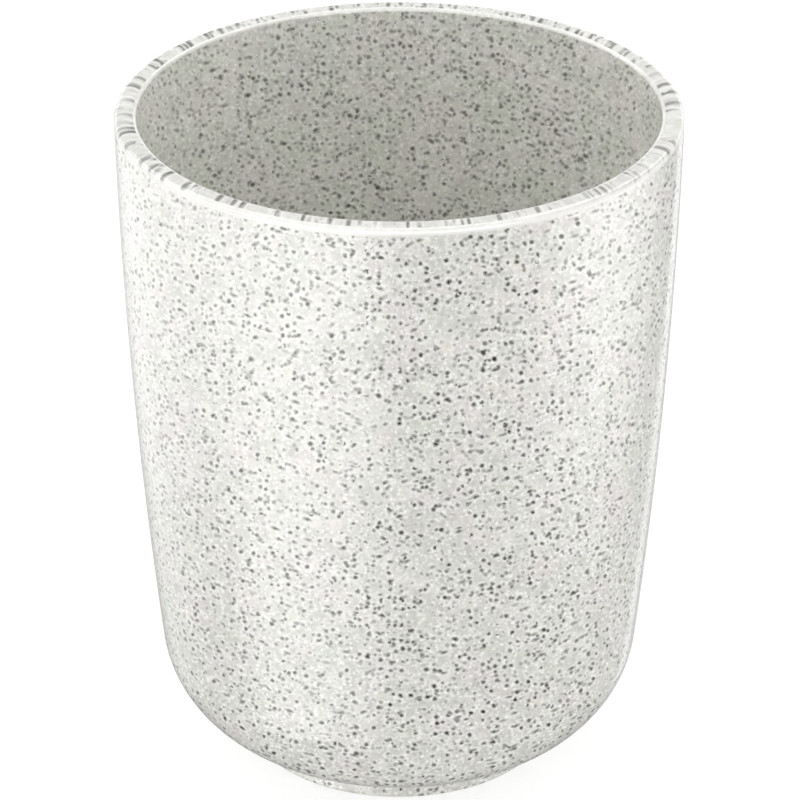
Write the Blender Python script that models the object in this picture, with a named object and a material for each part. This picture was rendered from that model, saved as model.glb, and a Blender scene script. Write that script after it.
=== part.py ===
"""A speckled bathroom tumbler for toothbrushes: a cast cup with a foam pad glued under its foot.

Units are metres, +Z is up. The origin is the middle of the pad's underside, where the cup stands.
Every solid is turned about the Z axis from an outline drawn in the XZ plane.
"""
import math

import bmesh
import bpy

# Cup, outside. Heights are measured from the foot ring's underside.
RIM_RADIUS = 0.042
CUP_HEIGHT = 0.1055
SIDE_DRAFT = math.radians(0.5)     # how far the side leans in just under the rim
SIDE_CURVE_RADIUS = 0.944          # the side's slight barrel curve
CORNER_RADIUS = 0.0167             # the large round between the side and the underside
UNDERSIDE_HEIGHT = 0.0027          # the plane that the large round would run into
RIM_OUTER_ROUND = 0.00075
RIM_INNER_ROUND = 0.0006

# Cup, inside
WALL = 0.0033
FLOOR_THICKNESS = 0.0036

# Foot ring
FOOT_RADIUS = 0.0245
FOOT_RING_WIDTH = 0.0026
FOOT_EDGE_ROUND = 0.0005

# Pad and its adhesive, in the recess inside the foot ring
PAD_THICKNESS = 0.002
PAD_PROUD = 0.0005                 # how far the pad stands out below the foot ring
PAD_SIDE_CLEARANCE = 0.0008
ADHESIVE_THICKNESS = 0.0002
ADHESIVE_INSET = 0.001
SEAT_GAP = 0.0003                  # air left between pieces that touch on the real cup

# Fineness of the round surfaces
TURN_STEPS = 64
SIDE_STEPS = 5
CORNER_STEPS = 8
ROUND_STEPS = 4
MERGE_DISTANCE = 0.00001

INNER_CORNER_RADIUS = CORNER_RADIUS - WALL
RECESS_DEPTH = SEAT_GAP + ADHESIVE_THICKNESS + SEAT_GAP + PAD_THICKNESS - PAD_PROUD
RECESS_RADIUS = FOOT_RADIUS - FOOT_RING_WIDTH
PAD_RADIUS = RECESS_RADIUS - PAD_SIDE_CLEARANCE

FOOT_Z = PAD_PROUD
RIM_Z = FOOT_Z + CUP_HEIGHT
RECESS_Z = FOOT_Z + RECESS_DEPTH
FLOOR_Z = RECESS_Z + FLOOR_THICKNESS

DOWN = -math.pi / 2
UP = math.pi / 2


def clear_scene():
    """Removes what the start-up file holds."""
    for found in list(bpy.data.objects):
        bpy.data.objects.remove(found, do_unlink=True)


def arc(center, radius, start, end, steps):
    """Points of a circular arc in the XZ plane, from one angle to another, both ends included."""
    points = []
    for i in range(steps + 1):
        angle = start + (end - start) * i / steps
        points.append((center[0] + radius * math.cos(angle), center[1] + radius * math.sin(angle)))
    return points


def side_center():
    """Centre of the side's barrel curve: both faces of the wall are turned about it."""
    return (
        RIM_RADIUS - SIDE_CURVE_RADIUS * math.cos(SIDE_DRAFT),
        RIM_Z - RIM_OUTER_ROUND + SIDE_CURVE_RADIUS * math.sin(SIDE_DRAFT),
    )


def corner_center(side_radius, corner_radius, plane_z):
    """Centre of the round that runs from the side's curve into a level plane, tangent to both."""
    center_x, center_z = side_center()
    z = plane_z + corner_radius
    reach = side_radius - corner_radius
    return (center_x + math.sqrt(reach ** 2 - (z - center_z) ** 2), z)


def side_angle(point):
    """Direction from the side curve's centre to a point."""
    center_x, center_z = side_center()
    return math.atan2(point[1] - center_z, point[0] - center_x)


def cup_outline():
    """From the middle of the cup's floor up the inside, over the rim, down the outside and under to the recess."""
    inner_radius = SIDE_CURVE_RADIUS - WALL
    inner_corner = corner_center(inner_radius, INNER_CORNER_RADIUS, FLOOR_Z)
    outer_corner = corner_center(SIDE_CURVE_RADIUS, CORNER_RADIUS, FOOT_Z + UNDERSIDE_HEIGHT)
    inner_side_angle = side_angle(inner_corner)
    outer_side_angle = side_angle(outer_corner)

    inner_top_angle = math.asin((RIM_Z - RIM_INNER_ROUND - side_center()[1]) / inner_radius)
    inner_top_x = side_center()[0] + inner_radius * math.cos(inner_top_angle)
    inner_round = (inner_top_x + RIM_INNER_ROUND, RIM_Z - RIM_INNER_ROUND)
    outer_round = (RIM_RADIUS - RIM_OUTER_ROUND, RIM_Z - RIM_OUTER_ROUND)

    # the large round stops where it reaches the foot ring's outer face, or runs level to a narrower ring
    foot_reach = max(FOOT_RADIUS - outer_corner[0], 0.0)
    foot_angle = -math.acos(foot_reach / CORNER_RADIUS)
    foot_outer = (FOOT_RADIUS - FOOT_EDGE_ROUND, FOOT_Z + FOOT_EDGE_ROUND)
    foot_inner = (RECESS_RADIUS + FOOT_EDGE_ROUND, FOOT_Z + FOOT_EDGE_ROUND)

    points = [(0.0, FLOOR_Z)]
    points += arc(inner_corner, INNER_CORNER_RADIUS, DOWN, inner_side_angle, CORNER_STEPS)
    points += arc(side_center(), inner_radius, inner_side_angle, inner_top_angle, SIDE_STEPS)[1:]
    points += arc(inner_round, RIM_INNER_ROUND, math.pi, UP, ROUND_STEPS)[1:]
    points += arc(outer_round, RIM_OUTER_ROUND, UP, 0.0, ROUND_STEPS)
    points += arc(side_center(), SIDE_CURVE_RADIUS, -SIDE_DRAFT, outer_side_angle, SIDE_STEPS)[1:]
    points += arc(outer_corner, CORNER_RADIUS, outer_side_angle, foot_angle, CORNER_STEPS)[1:]
    points += [(FOOT_RADIUS, points[-1][1])]
    points += arc(foot_outer, FOOT_EDGE_ROUND, 0.0, DOWN, ROUND_STEPS)
    points += arc(foot_inner, FOOT_EDGE_ROUND, DOWN, -math.pi, ROUND_STEPS)
    points += [(RECESS_RADIUS, RECESS_Z), (0.0, RECESS_Z)]
    return points


def disc_outline(radius, bottom_z, thickness):
    """A flat disc's outline, from the middle of its top round to the middle of its underside."""
    top_z = bottom_z + thickness
    return [(0.0, top_z), (radius, top_z), (radius, bottom_z), (0.0, bottom_z)]


def make_material(name, color, roughness):
    material = bpy.data.materials.new(name)
    material.use_nodes = True
    shader = material.node_tree.nodes["Principled BSDF"]
    shader.inputs["Base Color"].default_value = (*color, 1.0)
    shader.inputs["Roughness"].default_value = roughness
    shader.inputs["Metallic"].default_value = 0.0
    return material


def turned(name, outline, material):
    """Turns an outline about the Z axis into a closed solid, with flats kept flat in the shading."""
    mesh = bpy.data.meshes.new(name)
    build = bmesh.new()
    verts = [build.verts.new((x, 0.0, z)) for x, z in outline]
    edges = [build.edges.new(pair) for pair in zip(verts, verts[1:])]
    bmesh.ops.spin(
        build,
        geom=verts + edges,
        cent=(0.0, 0.0, 0.0),
        axis=(0.0, 0.0, 1.0),
        angle=math.tau,
        steps=TURN_STEPS,
        use_merge=True,
    )
    bmesh.ops.remove_doubles(build, verts=build.verts, dist=MERGE_DISTANCE)
    bmesh.ops.recalc_face_normals(build, faces=build.faces)
    build.to_mesh(mesh)
    build.free()
    mesh.shade_smooth()
    mesh.set_sharp_from_angle(angle=math.radians(30.0))
    mesh.materials.append(material)
    piece = bpy.data.objects.new(name, mesh)
    bpy.context.scene.collection.objects.link(piece)
    return piece


def make_cup_body():
    speckled_resin = make_material("speckled_resin", (0.69, 0.69, 0.65), 0.35)
    return turned("cup_body", cup_outline(), speckled_resin)


def make_pad_adhesive():
    clear_glue = make_material("pad_glue", (0.80, 0.78, 0.70), 0.45)
    bottom_z = PAD_THICKNESS + SEAT_GAP
    outline = disc_outline(PAD_RADIUS - ADHESIVE_INSET, bottom_z, ADHESIVE_THICKNESS)
    return turned("pad_adhesive", outline, clear_glue)


def make_non_slip_pad():
    foam = make_material("eva_foam", (0.62, 0.62, 0.60), 0.9)
    return turned("non_slip_pad", disc_outline(PAD_RADIUS, 0.0, PAD_THICKNESS), foam)


def main():
    clear_scene()
    make_cup_body()
    make_pad_adhesive()
    make_non_slip_pad()


main()
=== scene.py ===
"""Looks of the speckled toothbrush tumbler: fine turned surfaces, their materials, and a plain studio.

Units are metres, +Z is up, and the tumbler stands on z = 0 about the Z axis.
"""

import math

import bmesh
import bpy
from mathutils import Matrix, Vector


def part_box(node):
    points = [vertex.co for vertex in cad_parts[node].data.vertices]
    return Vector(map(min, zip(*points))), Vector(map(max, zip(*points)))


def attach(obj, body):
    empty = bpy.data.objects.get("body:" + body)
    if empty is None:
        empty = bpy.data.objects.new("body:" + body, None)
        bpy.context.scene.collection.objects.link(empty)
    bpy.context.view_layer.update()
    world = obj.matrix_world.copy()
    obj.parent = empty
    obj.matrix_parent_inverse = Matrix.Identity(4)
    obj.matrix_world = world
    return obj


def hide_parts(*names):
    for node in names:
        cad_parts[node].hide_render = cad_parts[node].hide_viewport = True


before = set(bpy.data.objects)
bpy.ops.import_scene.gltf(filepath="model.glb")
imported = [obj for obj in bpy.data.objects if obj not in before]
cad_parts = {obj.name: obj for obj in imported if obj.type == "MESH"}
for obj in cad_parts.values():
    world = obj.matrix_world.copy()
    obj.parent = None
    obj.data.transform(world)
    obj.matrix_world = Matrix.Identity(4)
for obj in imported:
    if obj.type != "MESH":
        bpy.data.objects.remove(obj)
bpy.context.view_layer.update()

# Sizes taken from the frame
CUP_LOW, CUP_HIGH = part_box("cup_body")
PAD_LOW, PAD_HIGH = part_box("non_slip_pad")
GLUE_LOW, GLUE_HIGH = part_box("pad_adhesive")
FOOT_Z = CUP_LOW[2]
RIM_Z = CUP_HIGH[2]
RIM_RADIUS = CUP_HIGH[0]
PAD_RADIUS = PAD_HIGH[0]
GLUE_RADIUS = GLUE_HIGH[0]

# Sizes of the cup's outline, as in the CAD model
SIDE_DRAFT = math.radians(0.5)
SIDE_CURVE_RADIUS = 0.944
CORNER_RADIUS = 0.0167
UNDERSIDE_HEIGHT = 0.0027
RIM_OUTER_ROUND = 0.00075
RIM_INNER_ROUND = 0.0006
WALL = 0.0033
FLOOR_Z = 0.0064
RECESS_Z = 0.0028
FOOT_RADIUS = 0.0245
FOOT_RING_WIDTH = 0.0026
FOOT_EDGE_ROUND = 0.0005
CREASE_ROUND = 0.0004              # where the large round meets the foot ring
RECESS_ROUND = 0.0003
PAD_EDGE_ROUND = 0.00015

# Fineness of the turned surfaces
TURN_STEPS = 288
SIDE_STEPS = 24
CORNER_STEPS = 28
ROUND_STEPS = 10
FLAT_STEP = 0.0025                 # rings on the flat faces
ON_AXIS = 1e-9                     # points nearer the axis than this are one vertex

# Camera, from the photograph's own perspective
CAMERA_BACK = 0.5152
CAMERA_HEIGHT = 0.3312
CAMERA_PITCH = math.radians(28.01)
CAMERA_LENS = 171.17
CAMERA_SENSOR = 36.0
CAMERA_SHIFT = (0.0010, 0.0006)

DOWN = -math.pi / 2
UP = math.pi / 2


def arc(center, radius, start, end, steps):
    """Points of a circular arc in the XZ plane, both ends included."""
    points = []
    for i in range(steps + 1):
        angle = start + (end - start) * i / steps
        points.append((center[0] + radius * math.cos(angle), center[1] + radius * math.sin(angle)))
    return points


def level(start_x, end_x, z):
    """Points along a flat face, from one radius to another."""
    steps = max(1, round(abs(end_x - start_x) / FLAT_STEP))
    return [(start_x + (end_x - start_x) * i / steps, z) for i in range(steps + 1)]


def side_center():
    """Centre of the side's barrel curve."""
    return (
        RIM_RADIUS - SIDE_CURVE_RADIUS * math.cos(SIDE_DRAFT),
        RIM_Z - RIM_OUTER_ROUND + SIDE_CURVE_RADIUS * math.sin(SIDE_DRAFT),
    )


def corner_center(side_radius, corner_radius, plane_z):
    """Centre of the round between the side's curve and a level plane."""
    center_x, center_z = side_center()
    z = plane_z + corner_radius
    reach = side_radius - corner_radius
    return (center_x + math.sqrt(reach ** 2 - (z - center_z) ** 2), z)


def side_angle(point):
    """Direction from the side curve's centre to a point."""
    center_x, center_z = side_center()
    return math.atan2(point[1] - center_z, point[0] - center_x)


def cup_outline():
    """From the middle of the floor up the inside, over the rim, down the outside and under to the recess."""
    inner_radius = SIDE_CURVE_RADIUS - WALL
    inner_corner_radius = CORNER_RADIUS - WALL
    inner_corner = corner_center(inner_radius, inner_corner_radius, FLOOR_Z)
    outer_corner = corner_center(SIDE_CURVE_RADIUS, CORNER_RADIUS, FOOT_Z + UNDERSIDE_HEIGHT)
    inner_side_angle = side_angle(inner_corner)
    outer_side_angle = side_angle(outer_corner)

    inner_top_angle = math.asin((RIM_Z - RIM_INNER_ROUND - side_center()[1]) / inner_radius)
    inner_top_x = side_center()[0] + inner_radius * math.cos(inner_top_angle)
    inner_round = (inner_top_x + RIM_INNER_ROUND, RIM_Z - RIM_INNER_ROUND)
    outer_round = (RIM_RADIUS - RIM_OUTER_ROUND, RIM_Z - RIM_OUTER_ROUND)

    # the small round in the crease touches the large round from outside, and the ring's outer face
    crease_x = FOOT_RADIUS + CREASE_ROUND
    crease_drop = math.sqrt((CORNER_RADIUS + CREASE_ROUND) ** 2 - (crease_x - outer_corner[0]) ** 2)
    crease = (crease_x, outer_corner[1] - crease_drop)
    crease_angle = math.atan2(crease[1] - outer_corner[1], crease[0] - outer_corner[0])
    foot_outer = (FOOT_RADIUS - FOOT_EDGE_ROUND, FOOT_Z + FOOT_EDGE_ROUND)
    recess_radius = FOOT_RADIUS - FOOT_RING_WIDTH
    foot_inner = (recess_radius + FOOT_EDGE_ROUND, FOOT_Z + FOOT_EDGE_ROUND)
    recess_round = (recess_radius - RECESS_ROUND, RECESS_Z - RECESS_ROUND)

    points = level(0.0, inner_corner[0], FLOOR_Z)
    points += arc(inner_corner, inner_corner_radius, DOWN, inner_side_angle, CORNER_STEPS)[1:]
    points += arc(side_center(), inner_radius, inner_side_angle, inner_top_angle, SIDE_STEPS)[1:]
    points += arc(inner_round, RIM_INNER_ROUND, math.pi, UP, ROUND_STEPS)[1:]
    points += arc(outer_round, RIM_OUTER_ROUND, UP, 0.0, ROUND_STEPS)
    points += arc(side_center(), SIDE_CURVE_RADIUS, -SIDE_DRAFT, outer_side_angle, SIDE_STEPS)[1:]
    points += arc(outer_corner, CORNER_RADIUS, outer_side_angle, crease_angle, CORNER_STEPS)[1:]
    points += arc(crease, CREASE_ROUND, crease_angle + math.pi, math.pi, ROUND_STEPS)[1:]
    points += arc(foot_outer, FOOT_EDGE_ROUND, 0.0, DOWN, ROUND_STEPS)
    points += arc(foot_inner, FOOT_EDGE_ROUND, DOWN, -math.pi, ROUND_STEPS)
    points += arc(recess_round, RECESS_ROUND, 0.0, UP, ROUND_STEPS)
    points += level(recess_round[0], 0.0, RECESS_Z)[1:]
    return points


def disc_outline(radius, low_z, high_z, edge_round):
    """A disc with slightly rounded edges, from the middle of its top to the middle of its underside."""
    top = (radius - edge_round, high_z - edge_round)
    bottom = (radius - edge_round, low_z + edge_round)
    points = level(0.0, top[0], high_z)
    points += arc(top, edge_round, UP, 0.0, ROUND_STEPS)[1:]
    points += arc(bottom, edge_round, 0.0, DOWN, ROUND_STEPS)
    points += level(bottom[0], 0.0, low_z)[1:]
    return points


def turned(name, outline):
    """Turns an outline about the Z axis into a closed mesh object."""
    build = bmesh.new()
    rings = []
    for x, z in outline:
        if x < ON_AXIS:
            rings.append([build.verts.new((0.0, 0.0, z))])
            continue
        ring = []
        for i in range(TURN_STEPS):
            angle = math.tau * i / TURN_STEPS
            ring.append(build.verts.new((x * math.cos(angle), x * math.sin(angle), z)))
        rings.append(ring)
    for upper, lower in zip(rings, rings[1:]):
        for i in range(TURN_STEPS):
            j = (i + 1) % TURN_STEPS
            if len(upper) == 1:
                build.faces.new((upper[0], lower[i], lower[j]))
            elif len(lower) == 1:
                build.faces.new((upper[i], lower[0], upper[j]))
            else:
                build.faces.new((upper[i], lower[i], lower[j], upper[j]))
    bmesh.ops.recalc_face_normals(build, faces=build.faces)
    mesh = bpy.data.meshes.new(name)
    build.to_mesh(mesh)
    build.free()
    mesh.shade_smooth()
    piece = bpy.data.objects.new(name, mesh)
    bpy.context.scene.collection.objects.link(piece)
    return piece


# Sockets of a mix node that are for colours
MIX_FACTOR, MIX_FIRST, MIX_SECOND = 0, 6, 7
MIX_RESULT = 2


class Graph:
    """A node tree, with short calls for the nodes that it is made of."""

    def __init__(self, tree):
        self.tree = tree

    def node(self, kind, **settings):
        """A new node, with its settings."""
        made = self.tree.nodes.new(kind)
        for key, value in settings.items():
            setattr(made, key, value)
        return made

    def feed(self, socket, value):
        """Joins a socket to another, or sets its own value."""
        if isinstance(value, bpy.types.NodeSocket):
            self.tree.links.new(value, socket)
        else:
            socket.default_value = value

    def math(self, operation, *values, clamp=False):
        """The result of a sum on numbers and sockets."""
        made = self.node("ShaderNodeMath", operation=operation, use_clamp=clamp)
        for socket, value in zip(made.inputs, values):
            self.feed(socket, value)
        return made.outputs[0]

    def square(self, value):
        return self.math("MULTIPLY", value, value)

    def remainder(self, share):
        """What is left of one."""
        return self.math("SUBTRACT", 1.0, share)

    def step(self, value, low, high):
        """0 below low, 1 above high, and smooth between; low may be the larger."""
        made = self.node("ShaderNodeMapRange", interpolation_type="SMOOTHSTEP")
        self.feed(made.inputs["Value"], value)
        self.feed(made.inputs["From Min"], low)
        self.feed(made.inputs["From Max"], high)
        return made.outputs["Result"]

    def mix(self, factor, first, second, blend="MIX"):
        """The colour on the way from the first to the second, or the other blend of the two."""
        made = self.node("ShaderNodeMix", data_type="RGBA", blend_type=blend)
        self.feed(made.inputs[MIX_FACTOR], factor)
        self.feed(made.inputs[MIX_FIRST], first)
        self.feed(made.inputs[MIX_SECOND], second)
        return made.outputs[MIX_RESULT]

    def blend(self, factor, first, second):
        """The number on the way from the first to the second."""
        return self.math("MULTIPLY_ADD", factor, self.math("SUBTRACT", second, first), first)

    def noise(self, place, size, detail=2.0, roughness=0.5):
        """Soft noise whose blotches are about the given size in metres."""
        made = self.node("ShaderNodeTexNoise", noise_dimensions="3D")
        self.feed(made.inputs["Vector"], place)
        made.inputs["Scale"].default_value = 1.0 / size
        made.inputs["Detail"].default_value = detail
        made.inputs["Roughness"].default_value = roughness
        return made.outputs

    def cells(self, place, size):
        """The nearest of the points scattered one to each cell, and that point's random colour."""
        made = self.node("ShaderNodeTexVoronoi", voronoi_dimensions="3D", feature="F1")
        self.feed(made.inputs["Vector"], place)
        made.inputs["Scale"].default_value = 1.0 / size
        return made.outputs["Position"], made.outputs["Color"]

    def vector(self, operation, *values):
        """The result of a sum on vectors."""
        made = self.node("ShaderNodeVectorMath", operation=operation)
        for socket, value in zip(made.inputs, values):
            self.feed(socket, value)
        return made.outputs["Vector"]

    def dot(self, first, second):
        made = self.node("ShaderNodeVectorMath", operation="DOT_PRODUCT")
        self.feed(made.inputs[0], first)
        self.feed(made.inputs[1], second)
        return made.outputs["Value"]

    def drawn(self, vector, along, stretch):
        """Draws out along a direction what is made from the vector."""
        turn = self.node("ShaderNodeVectorRotate", rotation_type="EULER_XYZ", invert=True)
        self.feed(turn.inputs["Vector"], vector)
        turn.inputs["Rotation"].default_value = Vector(along).to_track_quat("Z", "Y").to_euler()
        return self.vector("MULTIPLY", turn.outputs[0], (1.0, 1.0, 1.0 / stretch))

    def split(self, vector):
        made = self.node("ShaderNodeSeparateXYZ")
        self.feed(made.inputs[0], vector)
        return made.outputs

    def join(self, x, y, z):
        made = self.node("ShaderNodeCombineXYZ")
        for socket, value in zip(made.inputs, (x, y, z)):
            self.feed(socket, value)
        return made.outputs[0]

    def spun(self, vector, angle):
        """Turns a vector about Z."""
        made = self.node("ShaderNodeVectorRotate", rotation_type="Z_AXIS")
        self.feed(made.inputs["Vector"], vector)
        self.feed(made.inputs["Angle"], angle)
        return made.outputs[0]

    def shifted(self, place, noise_color, reach):
        """Moves the place by up to half the reach either way, so that round cells turn ragged."""
        centred = self.vector("SUBTRACT", noise_color, (0.5, 0.5, 0.5))
        return self.vector("ADD", place, self.vector("MULTIPLY", centred, (reach,) * 3))

    def ramp(self, value, stops):
        """Reads a value from a table of positions from 0 to 1 and values, with straight runs between them."""
        made = self.node("ShaderNodeValToRGB")
        self.feed(made.inputs[0], value)
        top = max(height for _, height in stops)
        elements = made.color_ramp.elements
        elements.remove(elements[1])
        for i, (position, height) in enumerate(stops):
            stop = elements[0] if i == 0 else elements.new(position)
            stop.position = position
            stop.color = (height / top,) * 3 + (1.0,)
        return self.math("MULTIPLY", made.outputs["Color"], top)


class Material(Graph):
    """The tree of a new node material."""

    def __init__(self, name):
        self.material = bpy.data.materials.new(name)
        self.material.use_nodes = True
        super().__init__(self.material.node_tree)
        self.shader = self.tree.nodes["Principled BSDF"]

    def bump(self, height, strength, distance):
        """Roughens the surface by a height."""
        made = self.node("ShaderNodeBump")
        made.inputs["Strength"].default_value = strength
        made.inputs["Distance"].default_value = distance
        self.feed(made.inputs["Height"], height)
        self.feed(self.shader.inputs["Normal"], made.outputs["Normal"])


# Specks of the resin: cell size, largest speck radius, share of cells that hold one, the faintest of them against
# the strongest, colour and strength. A stretch draws the specks of a kind out along one direction.
BLOTCH = (0.60, 0.56, 0.38, 1.0)
FINE_GRIT = (0.075, 0.070, 0.036, 1.0)
DARK_GRIT = (0.034, 0.032, 0.010, 1.0)
BLACK_GRIT = (0.017, 0.016, 0.006, 1.0)
SPECKS = (
    dict(cell=0.00300, radius=0.00075, share=0.35, faintest=0.3, color=BLOTCH, strength=0.25),
    dict(cell=0.00075, radius=0.00020, share=0.18, faintest=0.2, color=FINE_GRIT, strength=0.75),
    dict(cell=0.00095, radius=0.00031, share=0.46, faintest=0.3, color=DARK_GRIT, strength=0.98),
    dict(cell=0.00140, radius=0.00025, share=0.50, faintest=0.4, color=DARK_GRIT, strength=0.98,
         stretch=2.4, along=(1.0, 1.0, 0.4)),
    dict(cell=0.00140, radius=0.00025, share=0.50, faintest=0.4, color=DARK_GRIT, strength=0.98,
         stretch=2.4, along=(-1.0, 1.0, 0.5)),
    dict(cell=0.00160, radius=0.00035, share=0.40, faintest=0.65, color=BLACK_GRIT, strength=1.0),
)
PALE_SPECKS = dict(cell=0.00068, radius=0.00023, share=1.0, faintest=0.3)
# On the rim, where they are drawn out into short bars across it
DARK_BAR = (0.04, 0.038, 0.024, 1.0)
BLACK_BAR = (0.03, 0.029, 0.015, 1.0)
RIM_SPECKS = (
    dict(cell=0.00078, radius=0.00029, share=0.95, faintest=0.25, color=DARK_BAR, strength=0.97),
    dict(cell=0.00120, radius=0.00038, share=0.95, faintest=0.6, color=BLACK_BAR, strength=1.0),
)
SMALLEST = 0.65                    # the smallest speck of a kind against its largest
SPECK_EDGE = 0.00024               # how soft a speck's edge is
SPECK_DEPTH = 0.35                 # specks show whose middles are within this part of a cell of the surface
SPECK_HEIGHT = 1.07                # specks are a little taller than wide
HALO_REACH = 0.00030               # how far the paler resin round a speck goes
HALO_STRENGTH = 0.35

# Colours of the resin between the specks
PALE = (1.0, 0.995, 0.968, 1.0)
PALE_RESIN = (0.783, 0.777, 0.735, 1.0)
GREY_RESIN = (0.673, 0.667, 0.635, 1.0)
WARM_RESIN = (0.712, 0.735, 0.664, 1.0)
COOL_RESIN = (0.770, 0.738, 0.717, 1.0)
GRAIN_TINT = (0.84, 0.84, 0.83, 1.0)
# painted light: the inner face is a little lighter
INNER_LIGHT = (1.045, 1.05, 1.03, 1.0)
LOW_SHADE = 0.95                    # painted shade: a little darker near the foot, from between these heights
LOW_START = (0.070, 0.022)         # from between these heights
# Between these values of their noise the tones come in
GREY_RANGE = (0.35, 0.68)
WARM_RANGE = (0.51, 0.66)
COOL_RANGE = (0.49, 0.34)
GRAIN_RANGE = (0.30, 0.70)

# Noises: size of the blotches, detail and, where it isn't the usual one, roughness
RAGGED = (0.0006, 1.0)
TORN = (0.0009, 2.0)
CROWDING = (0.0045, 2.0, 0.6)
MOTTLE = (0.004, 3.0, 0.65)
HUE = (0.006, 3.0)
GRAIN = (0.0009, 2.0, 0.7)
POLISH = (0.008, 2.0)
WAVES = (0.0022, 3.0)
RAGGED_REACH = 0.00035             # how far two of them move the outlines of the dark specks
TORN_REACH = 0.0008                # and of the pale ones

# Gloss of the resin
LEAST_ROUGHNESS = 0.18
MORE_ROUGHNESS = 0.12
SPECULAR_LEVEL = 0.25
COAT_WEIGHT = 0.5
COAT_ROUGHNESS = 0.04
WAVE_STRENGTH, WAVE_HEIGHT = 0.06, 0.0004

# The sides of the tumbler, seen from the front
ASIDE = (0.5 * RIM_RADIUS, 0.85 * RIM_RADIUS)   # they begin between these distances from the middle
SIDE_SPREAD = 0.32                 # how much the resin is drawn out round the tumbler there
SIDE_RISE = 0.42                   # specks aren't level there, but rise this much for what they reach back, and are a little fainter there, as painted sheen washing them out
SIDE_SHEEN_FADE = 0.18                   # and are a little fainter

# The rim. Specks are drawn out across it down to these distances under the top, outside and inside
RIM_BAND = 0.0010
INNER_BAND = 0.0003
FLAT_INNER = RIM_RADIUS - WALL + RIM_INNER_ROUND
FLAT_OUTER = RIM_RADIUS - RIM_OUTER_ROUND
RIM_FAR = (0.3 * RIM_RADIUS, 0.9 * RIM_RADIUS)  # its far side begins between these distances behind the middle
RIM_DRAW = 0.12                    # how fast the resin changes across the rim, against along it
RIM_DRAW_FAR = 0.45                # the same at the far side
RIM_SIDE_SPREAD = 0.40
RIM_BEND = 350.0                   # how much the bars curve, in 1/m
RIM_HUE = 0.4                      # how much of the warm and cool tones the rim has
BAR_START = (FLAT_INNER - 0.0002, FLAT_INNER + 0.0001)
BAR_END = (0.0001, -0.0003)        # distances past the flat's outer edge
BAR_SHARE = 0.48                   # how many bars there are in front, against the sides and the far side
BARS_CROWDED = (0.2 * RIM_RADIUS, 0.6 * RIM_RADIUS)     # they grow in number between these distances back
OUTER_ROUND_START = (FLAT_OUTER - 0.0003, FLAT_OUTER + 0.0003)
ROUND_HIGHLIGHT = 0.2               # painted highlight: the rim's rounds are a little paler, and so is the foot of the outer one, between these heights
LIP_HIGHLIGHT = 0.5                 # and so is the foot of the outer one, between these heights
LIP_BOTTOM = (RIM_Z - 0.0012, RIM_Z - 0.0007)
LIP_TOP = (RIM_Z - 0.0002, RIM_Z - 0.0004)

# The walls. Their specks come in between these heights, so the rim's rounds stay clean under their painted
# highlights
OUTER_START = (RIM_Z - 0.0008, RIM_Z - 0.0012)
INNER_START = (RIM_Z - 0.00035, RIM_Z - 0.0007)
INNER_STRENGTH = 0.81              # specks show less on the inner face,
INNER_CROWD = 0.25                 # there are more of them,
INNER_HALO = 0.6                   # and the resin round them is less pale
CORNER_START = 0.0372              # radius at which the large round at the foot starts
CORNER_DRAW = 0.6                  # how fast the resin changes under it, against elsewhere


def round_the_sides(graph, x, y, z, spread, factor, *vectors):
    """Draws the resin out round the tumbler at its two sides, by turning it there about the Z axis."""
    factor = graph.math("DIVIDE", factor, graph.math("ADD", spread, 1.0))
    place = graph.join(graph.math("MULTIPLY", x, factor), graph.math("MULTIPLY", y, factor), z)
    diagonal = graph.math("MULTIPLY", x, y)
    angle = graph.math("MULTIPLY", diagonal, graph.math("MULTIPLY", spread, -1.0 / RIM_RADIUS ** 2))
    return [graph.spun(vector, angle) for vector in (place,) + vectors]


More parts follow.
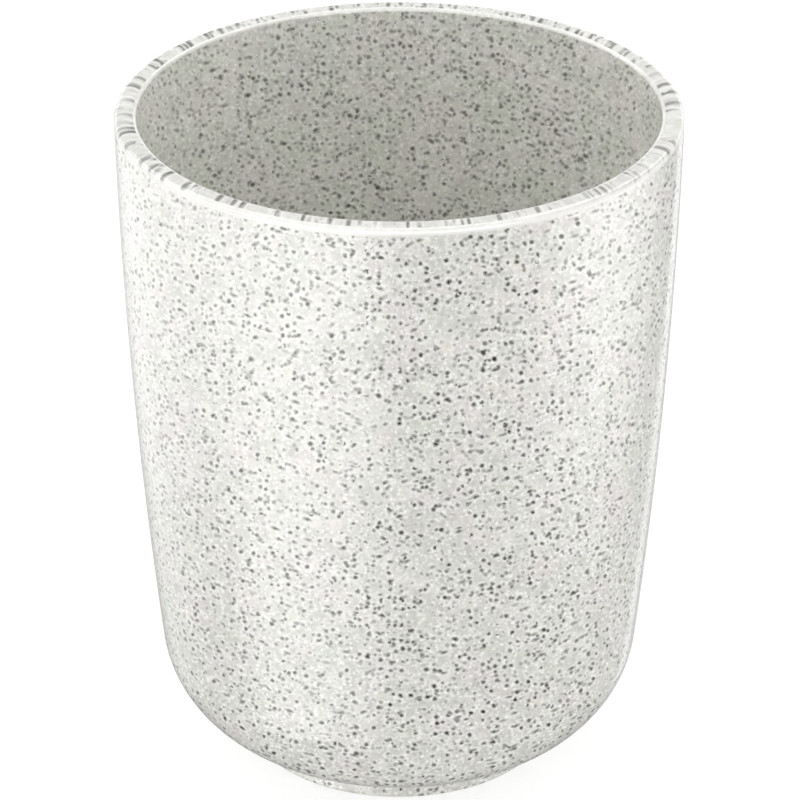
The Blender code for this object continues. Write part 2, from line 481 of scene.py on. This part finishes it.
class Resin:
    """Where a graph reads the resin's specks and tones, which way its surface faces, and which part this is."""

    def __init__(self, graph):
        coordinates = graph.node("ShaderNodeTexCoord").outputs
        x, y, self.z = graph.split(coordinates["Object"])
        facing = graph.split(coordinates["Normal"])
        reach = graph.math("SQRT", graph.math("ADD", graph.square(x), graph.square(y)))
        outward = graph.math("MULTIPLY_ADD", x, facing[0], graph.math("MULTIPLY", y, facing[1]))
        within = graph.math("LESS_THAN", graph.math("MULTIPLY_ADD", facing[2], -WALL, outward), 0.0)
        band_start = graph.blend(within, RIM_Z - RIM_BAND, RIM_Z - INNER_BAND)
        on_rim = graph.math("GREATER_THAN", self.z, band_start)
        aside = graph.step(graph.math("ABSOLUTE", x), *ASIDE)
        self.off_rim = graph.remainder(on_rim)
        self.inner = graph.math("MULTIPLY", within, self.off_rim)
        self.find_place(graph, (x, y), facing, reach, within, on_rim, aside)
        self.find_wall(graph, within, aside)
        self.find_rim(graph, y, reach, within, on_rim, aside)

    def find_place(self, graph, level_place, facing, reach, within, on_rim, aside):
        """Where the specks and the tones are read, and which way the surface faces there."""
        x, y = level_place
        # the radius counts for less on the rim, so that specks come out as bars, and under the large round
        draw = graph.blend(graph.step(y, *RIM_FAR), RIM_DRAW, RIM_DRAW_FAR)
        drawn = graph.math("MULTIPLY_ADD", graph.math("SUBTRACT", reach, RIM_RADIUS), draw, RIM_RADIUS)
        under = graph.math("MINIMUM", graph.math("SUBTRACT", reach, CORNER_START), 0.0)
        under = graph.math("MULTIPLY", under, graph.blend(within, CORNER_DRAW - 1.0, 0.0))
        drawn = graph.blend(on_rim, graph.math("ADD", reach, under), drawn)
        factor = graph.math("DIVIDE", drawn, graph.math("MAXIMUM", reach, WALL))
        factor = graph.blend(graph.math("LESS_THAN", reach, WALL), factor, 1.0)
        spread = graph.blend(on_rim, SIDE_SPREAD, RIM_SIDE_SPREAD)

        from_middle = graph.math("SUBTRACT", reach, 0.5 * (FLAT_INNER + RIM_RADIUS))
        bend = graph.math("MULTIPLY", graph.square(from_middle), RIM_BEND)
        bent_y = graph.math("MULTIPLY_ADD", bend, graph.math("MULTIPLY", aside, on_rim), y)
        risen_z = graph.math("MULTIPLY_ADD", y, SIDE_RISE, self.z)
        speck_z = graph.math("MULTIPLY", graph.blend(on_rim, risen_z, RIM_Z), 1.0 / SPECK_HEIGHT)

        # the rim's specks are read as on a flat face
        off_rim = graph.join(self.off_rim, self.off_rim, self.off_rim)
        risen_y = graph.math("MULTIPLY_ADD", facing[2], -SIDE_RISE, facing[1])
        risen = graph.join(facing[0], risen_y, facing[2])
        facing = graph.vector("MULTIPLY_ADD", risen, off_rim, graph.join(0.0, 0.0, on_rim))
        facing = graph.vector("NORMALIZE", facing)
        self.place, self.facing = round_the_sides(graph, x, bent_y, speck_z, spread, factor, facing)
        self.tone_place, = round_the_sides(graph, x, y, risen_z, SIDE_SPREAD, 1.0)

    def find_wall(self, graph, within, aside):
        """How strongly specks show on the two walls."""
        outer_shown = graph.step(self.z, *OUTER_START)
        inner_shown = graph.math("MULTIPLY", graph.step(self.z, *INNER_START), INNER_STRENGTH)
        # painted sheen: specks a little fainter at the sides
        faded = graph.math("MULTIPLY_ADD", aside, -SIDE_SHEEN_FADE, 1.0)
        self.wall_shown = graph.math("MULTIPLY", graph.blend(within, outer_shown, inner_shown), faded)

    def find_rim(self, graph, y, reach, within, on_rim, aside):
        """Where bars show on the rim, how many there are, and where highlights are painted on it and on the lip.
        """
        # bars start past the inner round and end at the flat's edge, but at the sides go on over the outer round
        end = graph.math("MULTIPLY_ADD", aside, RIM_OUTER_ROUND, FLAT_OUTER)
        before_end = graph.step(graph.math("SUBTRACT", reach, end), *BAR_END)
        past_start = graph.step(reach, *BAR_START)
        self.rim_shown = graph.math("MULTIPLY", graph.math("MULTIPLY", before_end, past_start), on_rim)
        crowded = graph.math("MAXIMUM", aside, graph.step(y, *BARS_CROWDED))
        self.rim_share = graph.math("MULTIPLY_ADD", crowded, 1.0 - BAR_SHARE, BAR_SHARE)

        inner_round = graph.math("MULTIPLY", on_rim, within)
        self.inner_round = graph.math("MULTIPLY", inner_round, graph.remainder(past_start))
        outer_round = graph.math("MULTIPLY", on_rim, graph.step(reach, *OUTER_ROUND_START))
        self.outer_round = graph.math("MULTIPLY", outer_round, graph.remainder(aside))
        lip = graph.math("MULTIPLY", graph.step(self.z, *LIP_BOTTOM), graph.step(self.z, *LIP_TOP))
        self.lip = graph.math("MULTIPLY", lip, graph.remainder(within))


def speck_mask(graph, place, facing, crowding, cell, radius, share, faintest, stretch=1.0, along=None):
    """Masks of the specks of one kind and of the resin close round them. Crowding moves the share up and down."""
    if along:
        place, facing = (graph.drawn(vector, along, stretch) for vector in (place, facing))
        facing = graph.vector("NORMALIZE", facing)
    middle, random = graph.cells(place, cell)
    away = graph.vector("SUBTRACT", place, middle)
    depth = graph.dot(away, facing)
    # the distance counts in the surface alone, so that a speck is cut through its middle
    in_surface = graph.math("SUBTRACT", graph.dot(away, away), graph.square(depth))
    distance = graph.math("SQRT", graph.math("MAXIMUM", in_surface, 0.0))
    channels = graph.node("ShaderNodeSeparateColor")
    graph.feed(channels.inputs[0], random)
    lot, size, tone = channels.outputs
    size = graph.math("MULTIPLY_ADD", size, (1.0 - SMALLEST) * radius, SMALLEST * radius)
    outer = graph.math("ADD", size, SPECK_EDGE)
    inside = graph.step(distance, outer, graph.math("SUBTRACT", size, SPECK_EDGE))
    near = graph.step(distance, graph.math("ADD", outer, HALO_REACH), outer)
    # the crowding's mean is a half
    drawn = graph.math("LESS_THAN", lot, graph.math("MULTIPLY", crowding, 2.0 * share))
    shallow = graph.math("LESS_THAN", graph.math("ABSOLUTE", depth), SPECK_DEPTH * cell)
    held = graph.math("MULTIPLY", drawn, shallow)
    held = graph.math("MULTIPLY", held, graph.math("MULTIPLY_ADD", tone, 1.0 - faintest, faintest))
    return graph.math("MULTIPLY", inside, held), graph.math("MULTIPLY", near, held)


def resin_tone(graph, resin):
    """The resin's colour without specks, with painted shade near the foot and painted light inside and on the
    rim.
    """
    mottle = graph.noise(resin.tone_place, *MOTTLE)["Fac"]
    hue = graph.noise(resin.tone_place, *HUE)["Fac"]
    grain = graph.noise(resin.tone_place, *GRAIN)["Fac"]
    color = graph.mix(graph.step(mottle, *GREY_RANGE), PALE_RESIN, GREY_RESIN)
    hued = graph.blend(resin.off_rim, RIM_HUE, 1.0)
    color = graph.mix(graph.math("MULTIPLY", graph.step(hue, *WARM_RANGE), hued), color, WARM_RESIN)
    color = graph.mix(graph.math("MULTIPLY", graph.step(hue, *COOL_RANGE), hued), color, COOL_RESIN)
    shaded = graph.mix(1.0, color, GRAIN_TINT, "MULTIPLY")
    color = graph.mix(graph.step(grain, *GRAIN_RANGE), shaded, color)
    # painted shade: darker near the foot
    low_shaded = graph.mix(1.0, color, (LOW_SHADE,) * 3 + (1.0,), "MULTIPLY")
    color = graph.mix(graph.step(resin.z, *LOW_START), color, low_shaded)
    # painted light: the inner face a little lighter
    color = graph.mix(resin.inner, color, graph.mix(1.0, color, INNER_LIGHT, "MULTIPLY"))
    # painted highlights on the rim's rounds and on the lip under the outer one
    color = graph.mix(graph.math("MULTIPLY", resin.inner_round, ROUND_HIGHLIGHT), color, PALE)
    color = graph.mix(graph.math("MULTIPLY", resin.outer_round, ROUND_HIGHLIGHT), color, PALE)
    return graph.mix(graph.math("MULTIPLY", resin.lip, LIP_HIGHLIGHT), color, PALE)


def add_specks(graph, resin, color):
    """Lays the pale specks over a colour, then the halos of the dark ones, then these themselves."""
    crowding = graph.noise(resin.tone_place, *CROWDING)["Fac"]
    crowding = graph.math("MULTIPLY", crowding, graph.math("MULTIPLY_ADD", resin.inner, INNER_CROWD, 1.0))
    torn = graph.shifted(resin.place, graph.noise(resin.place, *TORN)["Color"], TORN_REACH)
    flecks, _ = speck_mask(graph, torn, resin.facing, crowding, **PALE_SPECKS)
    color = graph.mix(graph.math("MULTIPLY", flecks, resin.off_rim), color, PALE)

    ragged = graph.shifted(resin.place, graph.noise(resin.place, *RAGGED)["Color"], RAGGED_REACH)
    haloed = graph.blend(resin.inner, HALO_STRENGTH, HALO_STRENGTH * INNER_HALO)
    rim_crowding = graph.math("MULTIPLY", crowding, resin.rim_share)
    on_walls = [(kind, resin.wall_shown, crowding) for kind in SPECKS]
    on_the_rim = [(kind, resin.rim_shown, rim_crowding) for kind in RIM_SPECKS]
    masks = []
    for kind, shown, crowded in on_walls + on_the_rim:
        shape = {key: value for key, value in kind.items() if key not in ("color", "strength")}
        mask, halo = speck_mask(graph, ragged, resin.facing, crowded, **shape)
        halo = graph.math("MULTIPLY", halo, shown)
        color = graph.mix(graph.math("MULTIPLY", halo, haloed), color, PALE)
        masks.append((graph.math("MULTIPLY", mask, shown), kind))
    for mask, kind in masks:
        color = graph.mix(graph.math("MULTIPLY", mask, kind["strength"]), color, kind["color"])
    return color


def speckled_resin():
    """Cast resin with dark and pale specks, under a thin clear coat."""
    graph = Material("speckled_resin")
    resin = Resin(graph)
    color = add_specks(graph, resin, resin_tone(graph, resin))
    graph.feed(graph.shader.inputs["Base Color"], color)
    graph.shader.inputs["Specular IOR Level"].default_value = SPECULAR_LEVEL
    graph.shader.inputs["Coat Weight"].default_value = COAT_WEIGHT
    graph.shader.inputs["Coat Roughness"].default_value = COAT_ROUGHNESS
    polish = graph.noise(resin.tone_place, *POLISH)["Fac"]
    roughness = graph.math("MULTIPLY_ADD", polish, MORE_ROUGHNESS, LEAST_ROUGHNESS)
    graph.feed(graph.shader.inputs["Roughness"], roughness)
    graph.bump(graph.noise(resin.tone_place, *WAVES)["Fac"], WAVE_STRENGTH, WAVE_HEIGHT)
    return graph.material


# Foam of the pad
PORE_CELL = 0.00028
PORE_EDGE = (0.15 * PORE_CELL, 0.55 * PORE_CELL)
# pores painted darker, as shade in their hollows
PORE_SHADE = (0.42, 0.42, 0.41, 1.0)
DARK_FOAM = (0.60, 0.60, 0.585, 1.0)
LIGHT_FOAM = (0.66, 0.66, 0.645, 1.0)
FOAM_ROUGHNESS, FOAM_ROUGHER = 0.82, 0.1
FOAM_BLOTCHES = (0.004, 3.0)
FOAM_BLOTCH_RANGE = (0.3, 0.7)
PORE_STRENGTH, PORE_DEPTH = 0.5, 0.00008

# Glue of the pad
GLUE_RIPPLES = (0.0025, 3.0)
DARK_GLUE = (0.78, 0.76, 0.66, 1.0)
LIGHT_GLUE = (0.86, 0.85, 0.78, 1.0)
GLUE_ROUGHNESS, GLUE_ROUGHER = 0.3, 0.2
RIPPLE_STRENGTH, RIPPLE_HEIGHT = 0.3, 0.0001
GLUE_EDGE = 0.3                    # round of its edge, against its thickness


def eva_foam():
    """Grey closed-cell foam with fine pores, painted darker as shade in their hollows."""
    graph = Material("eva_foam")
    place = graph.node("ShaderNodeTexCoord").outputs["Object"]
    middle, _ = graph.cells(place, PORE_CELL)
    away = graph.vector("SUBTRACT", place, middle)
    solid = graph.step(graph.math("SQRT", graph.dot(away, away)), *PORE_EDGE)
    blotches = graph.noise(place, *FOAM_BLOTCHES)["Fac"]
    color = graph.mix(graph.step(blotches, *FOAM_BLOTCH_RANGE), DARK_FOAM, LIGHT_FOAM)
    color = graph.mix(graph.remainder(solid), color, PORE_SHADE)
    graph.feed(graph.shader.inputs["Base Color"], color)
    roughness = graph.math("MULTIPLY_ADD", solid, FOAM_ROUGHER, FOAM_ROUGHNESS)
    graph.feed(graph.shader.inputs["Roughness"], roughness)
    graph.bump(solid, PORE_STRENGTH, PORE_DEPTH)
    return graph.material


def pad_glue():
    """Cloudy adhesive with soft ripples."""
    graph = Material("pad_glue")
    place = graph.node("ShaderNodeTexCoord").outputs["Object"]
    ripples = graph.noise(place, *GLUE_RIPPLES)["Fac"]
    graph.feed(graph.shader.inputs["Base Color"], graph.mix(ripples, DARK_GLUE, LIGHT_GLUE))
    roughness = graph.math("MULTIPLY_ADD", ripples, GLUE_ROUGHER, GLUE_ROUGHNESS)
    graph.feed(graph.shader.inputs["Roughness"], roughness)
    graph.bump(ripples, RIPPLE_STRENGTH, RIPPLE_HEIGHT)
    return graph.material


def dress(piece, material, node):
    """Gives a piece its material and its place in the frame."""
    piece.data.materials.append(material)
    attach(piece, "root")
    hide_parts(node)


def make_cup():
    cup = turned("speckled_cup", cup_outline())
    dress(cup, speckled_resin(), "cup_body")


def make_pad():
    pad = turned("foam_pad", disc_outline(PAD_RADIUS, PAD_LOW[2], PAD_HIGH[2], PAD_EDGE_ROUND))
    dress(pad, eva_foam(), "non_slip_pad")


def make_glue():
    edge = GLUE_EDGE * (GLUE_HIGH[2] - GLUE_LOW[2])
    glue = turned("glue_disc", disc_outline(GLUE_RADIUS, GLUE_LOW[2], GLUE_HIGH[2], edge))
    dress(glue, pad_glue(), "pad_adhesive")


# Studio
TABLE_HALF = 3.0
TABLE_Z = -0.0001                  # just clear of the pad's lower face
TABLE_COLOR = (0.38, 0.38, 0.378, 1.0)
TABLE_ROUGHNESS = 0.9
TABLE_GLOW = 0.70                  # keeps it pale right up to the tumbler
AIM = Vector((0.0, 0.0, 0.06))     # what the panels are turned to
# Panels that reflections alone show, mainly for the shine of the rim's rounds: azimuth from the camera's side
# towards +X and elevation, in degrees, then distance, width, height and brightness
PANELS = {
    "overhead_panel": (180, 76, 1.2, 1.9, 2.2, 3.0),
    "front_panel": (-8, 32, 1.3, 3.0, 1.5, 3.7),
    "left_panel": (-100, 28, 1.3, 1.6, 1.2, 3.0),
    "back_panel": (180, 8, 1.3, 2.4, 0.5, 1.2),
}


def make_floor():
    """A plain pale table that is clear from below, and that reflections don't show."""
    mesh = bpy.data.meshes.new("floor")
    corners = [(-1, -1), (1, -1), (1, 1), (-1, 1)]
    mesh.from_pydata([(x * TABLE_HALF, y * TABLE_HALF, TABLE_Z) for x, y in corners], [], [(0, 1, 2, 3)])
    floor = bpy.data.objects.new("floor", mesh)
    bpy.context.scene.collection.objects.link(floor)
    graph = Material("pale_floor")
    graph.shader.inputs["Base Color"].default_value = TABLE_COLOR
    graph.shader.inputs["Roughness"].default_value = TABLE_ROUGHNESS
    graph.shader.inputs["Specular IOR Level"].default_value = 0.0
    graph.shader.inputs["Emission Color"].default_value = (1.0, 1.0, 1.0, 1.0)
    graph.shader.inputs["Emission Strength"].default_value = TABLE_GLOW
    seen_from_below = graph.node("ShaderNodeNewGeometry").outputs["Backfacing"]
    see_through = graph.node("ShaderNodeMixShader")
    graph.feed(see_through.inputs[0], seen_from_below)
    graph.feed(see_through.inputs[1], graph.shader.outputs[0])
    graph.feed(see_through.inputs[2], graph.node("ShaderNodeBsdfTransparent").outputs[0])
    graph.feed(graph.tree.nodes["Material Output"].inputs["Surface"], see_through.outputs[0])
    mesh.materials.append(graph.material)
    floor.visible_glossy = False


def panel(name, azimuth, elevation, distance, width, height, brightness):
    """A soft panel that shows in reflections and gives no other light."""
    light = bpy.data.lights.new(name, "AREA")
    light.shape = "RECTANGLE"
    light.size = width
    light.size_y = height
    light.energy = brightness * math.pi * width * height
    turn, lift = math.radians(azimuth), math.radians(elevation)
    away = Vector((math.sin(turn) * math.cos(lift), -math.cos(turn) * math.cos(lift), math.sin(lift)))
    lamp = bpy.data.objects.new(name, light)
    lamp.location = AIM + away * distance
    lamp.rotation_euler = away.to_track_quat("Z", "Y").to_euler()
    lamp.visible_camera = False
    lamp.visible_diffuse = False
    bpy.context.scene.collection.objects.link(lamp)


def make_lamps():
    """The panels. The even light is the world's."""
    for name, setting in PANELS.items():
        panel(name, *setting)


# Brightness of the studio about 25 degrees under the horizon, where the walls reflect it from, by azimuth in
# degrees from the camera's side at 0 towards +X at 90
HIGH_RING = (
    (-180, 0.55), (-164, 0.65), (-159, 0.9), (-145, 1.45), (-120, 2.15), (-90, 3.15), (-65, 4.8), (-40, 5.8),
    (-20, 4.9), (0, 0.05), (25, 0.0), (50, 0.05), (75, 3.4), (95, 3.75), (115, 1.6), (132, 0.35), (147, 0.35),
    (151, 0.4), (154, 1.2), (163, 1.25), (165.5, 0.4), (180, 0.55),
)
# The same lower down
LOW_RING = (
    (-180, 0.4), (-164, 0.25), (-160, 0.3), (-145, 0.75), (-120, 0.5), (-90, 0.1), (-65, 3.0), (-40, 3.3),
    (-20, 1.6), (0, 0.0), (30, 0.1), (60, 0.0), (100, 0.0), (122, 0.15), (136, 0.4), (146, 0.5), (155, 0.25),
    (159, 1.0), (167, 1.15), (169.5, 0.4), (180, 0.55),
)
# Heights on the sky's unit sphere between which the rings blend, and the lower one on the far side
RING_TOP = -0.42
RING_BOTTOM = -0.70
RING_BOTTOM_FAR = -0.60
RING_LEAN = 0.10                   # how far the bands at the right draw in towards the camera's side lower down
UNDER_TOP = -0.70                  # below these heights, near the camera and far from it, only a little light
UNDER_TOP_FAR = -0.57
UNDER_GLOW = 0.2
UNDER_EDGE = 0.12                  # how softly it sets in
FADE_TOP = -0.26                   # between these heights the rings fade upwards to a share of themselves, and
FADE_BOTTOM = -0.37                # even light takes the place of the rest
FADED_SHARE = 0.2
FADED_GLOW = 0.50
HORIZON_GLOW = 0.65
HORIZON_EDGE = 0.03
ZENITH_GLOW = 0.98
FRONT_DIP = 0.055                  # less light from the camera's side
SIDE_GLOW = 0.38                   # more light from the sides
HIGH_SIDE_GLOW = 1.44              # and from above them


def ring_glow(graph, x, y, z):
    """Brightness under the horizon."""
    turn = graph.math("ARCTAN2", x, graph.math("MULTIPLY", y, -1.0))
    far = graph.math("MULTIPLY_ADD", graph.math("COSINE", turn), -0.5, 0.5)
    reach = graph.blend(far, RING_BOTTOM - RING_TOP, RING_BOTTOM_FAR - RING_TOP)
    level = graph.math("DIVIDE", graph.math("SUBTRACT", z, RING_TOP), reach, clamp=True)
    lean = graph.math("MULTIPLY", graph.math("MAXIMUM", turn, 0.0), graph.math("MULTIPLY", level, RING_LEAN))
    turn = graph.math("ADD", turn, lean)
    place = graph.math("MULTIPLY_ADD", turn, 1.0 / math.tau, 0.5, clamp=True)
    high, low = (
        graph.ramp(place, [(azimuth / 360 + 0.5, glow) for azimuth, glow in ring])
        for ring in (HIGH_RING, LOW_RING)
    )
    ring = graph.blend(graph.step(level, 0.0, 1.0), high, low)
    under_top = graph.blend(far, UNDER_TOP, UNDER_TOP_FAR)
    under = graph.step(graph.math("SUBTRACT", z, under_top), 0.0, -UNDER_EDGE)
    ring = graph.blend(under, ring, UNDER_GLOW)
    faded = graph.math("MULTIPLY_ADD", ring, FADED_SHARE, FADED_GLOW)
    return graph.blend(graph.step(z, FADE_TOP, FADE_BOTTOM), faded, ring)


def sky_glow(graph, x, y, z):
    """Brightness above the horizon."""
    rise = graph.math("MAXIMUM", z, 0.0)
    sky = graph.math("MULTIPLY_ADD", rise, ZENITH_GLOW - HORIZON_GLOW, HORIZON_GLOW)
    front = graph.math("MAXIMUM", graph.math("MULTIPLY", y, -1.0), 0.0)
    sky = graph.math("MULTIPLY_ADD", front, -FRONT_DIP, sky)
    side = graph.math("MULTIPLY_ADD", graph.square(rise), HIGH_SIDE_GLOW, SIDE_GLOW)
    return graph.math("MULTIPLY_ADD", graph.square(x), side, sky)


def make_world():
    """Soft light from all round and above. The half under the horizon lights nothing, but reflections show it."""
    world = bpy.data.worlds.new("studio")
    bpy.context.scene.world = world
    world.use_nodes = True
    world.cycles.sampling_method = "NONE"       # so that the table keeps the lower half from all but reflections
    graph = Graph(world.node_tree)
    x, y, z = graph.split(graph.node("ShaderNodeTexCoord").outputs["Generated"])
    below = graph.step(z, 0.0, -HORIZON_EDGE)
    glow = graph.blend(below, sky_glow(graph, x, y, z), ring_glow(graph, x, y, z))
    graph.feed(world.node_tree.nodes["Background"].inputs["Color"], graph.join(glow, glow, glow))


def make_camera():
    data = bpy.data.cameras.new("camera")
    data.lens = CAMERA_LENS
    data.sensor_width = CAMERA_SENSOR
    data.sensor_fit = "HORIZONTAL"
    data.shift_x, data.shift_y = CAMERA_SHIFT
    camera = bpy.data.objects.new("camera", data)
    camera.location = (0.0, -CAMERA_BACK, CAMERA_HEIGHT)
    camera.rotation_euler = (UP - CAMERA_PITCH, 0.0, 0.0)
    bpy.context.scene.collection.objects.link(camera)
    bpy.context.scene.camera = camera


def main():
    make_camera()
    make_cup()
    make_pad()
    make_glue()
    make_floor()
    make_lamps()
    make_world()
    bpy.context.scene.view_settings.view_transform = "Standard"


main()
